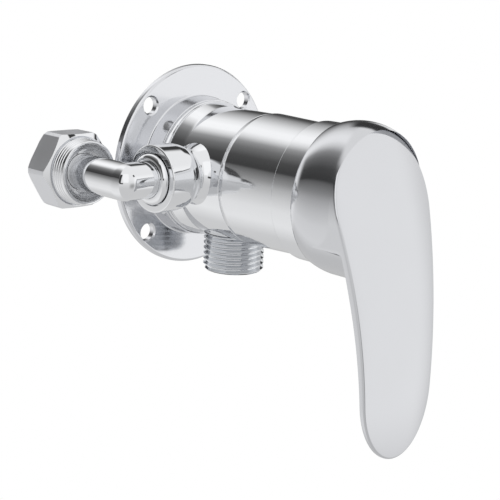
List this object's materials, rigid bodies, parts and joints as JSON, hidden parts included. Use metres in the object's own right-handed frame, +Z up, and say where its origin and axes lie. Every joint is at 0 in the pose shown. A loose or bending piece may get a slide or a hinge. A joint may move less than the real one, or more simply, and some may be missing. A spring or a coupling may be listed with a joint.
{
  "type": "shower mixer valve",
  "caption": "Exposed single-lever shower mixer with a round wall flange, two swivelling side arms with union nuts, a threaded outlet below and a long flat lever handle.",
  "frame": {"origin": "on the wall, at the centre of the flange's back face", "axes": "+Z up, +X to the right of someone facing the wall, -Y out of the wall into the room; the valve's axis is Y"},
  "size_m": [0.1238, 0.1094, 0.113],
  "materials": {
    "polished_chrome": "polished chrome plate",
    "satin_chrome": "chrome plate over a soft-polished casting",
    "screw_steel": "bright machined",
    "bare_brass": "turned, unplated",
    "cartridge_plastic": "moulded, off-white",
    "carrier_plastic": "moulded, dark grey",
    "ceramic": "lapped alumina",
    "seal_rubber": "moulded, black"
  },
  "bodies": {
    "valve": {"wall_flange": "polished_chrome", "seam_ring": "polished_chrome", "body_screw": "screw_steel", "valve_body": "polished_chrome", "outlet_nipple": "polished_chrome", "front_sleeve": "polished_chrome", "trim_ring": "polished_chrome", "cartridge_nut": "bare_brass", "cartridge_housing": "cartridge_plastic", "cartridge_base": "cartridge_plastic", "hot_seal": "seal_rubber", "cold_seal": "seal_rubber", "mixed_seal": "seal_rubber", "fixed_disc": "ceramic", "left_gland_ring": "polished_chrome", "right_gland_ring": "polished_chrome", "left_tube_seal": "seal_rubber", "right_tube_seal": "seal_rubber"},
    "temperature_rotor": {"rotor": "carrier_plastic", "pivot_pin": "screw_steel"},
    "disc_slider": {"moving_disc": "ceramic", "disc_carrier": "carrier_plastic"},
    "lever": {"lever_spindle": "bare_brass", "handle": "satin_chrome", "handle_screw": "screw_steel"},
    "left_tube": {"left_bent_tube": "polished_chrome"},
    "right_tube": {"right_bent_tube": "polished_chrome"},
    "left_nut": {"left_union_nut": "polished_chrome"},
    "right_nut": {"right_union_nut": "polished_chrome"}
  },
  "joints": [
    {"name": "temperature", "type": "hinge", "parent": "valve", "child": "temperature_rotor", "pos_m": [0, -0.0615, 0], "axis": [0, 1, 0], "range_deg": [-50, 50]},
    {"name": "flow", "type": "hinge", "parent": "temperature_rotor", "child": "lever", "pos_m": [0, -0.0615, 0], "axis": [-1, 0, 0], "range_deg": [0, 24]},
    {"name": "disc_slide", "type": "slide", "parent": "temperature_rotor", "child": "disc_slider", "axis": [0, 0, -1], "range_m": [0, 0.0059]},
    {"name": "left_swivel", "type": "hinge", "parent": "valve", "child": "left_tube", "pos_m": [-0.0379, -0.0228, 0.0015], "axis": [1, 0, 0], "range_deg": [-14, 14]},
    {"name": "right_swivel", "type": "hinge", "parent": "valve", "child": "right_tube", "pos_m": [0.0379, -0.0228, 0.0015], "axis": [1, 0, 0], "range_deg": [-14, 14]},
    {"name": "left_nut_turn", "type": "hinge", "parent": "left_tube", "child": "left_nut", "pos_m": [-0.0485, 0, 0.0015], "axis": [0, 1, 0], "continuous": true},
    {"name": "right_nut_turn", "type": "hinge", "parent": "right_tube", "child": "right_nut", "pos_m": [0.0485, 0, 0.0015], "axis": [0, 1, 0], "continuous": true}
  ],
  "couplings": [
    {"joint": "disc_slide", "follows": "flow", "m_per_rad": 0.0139}
  ]
}
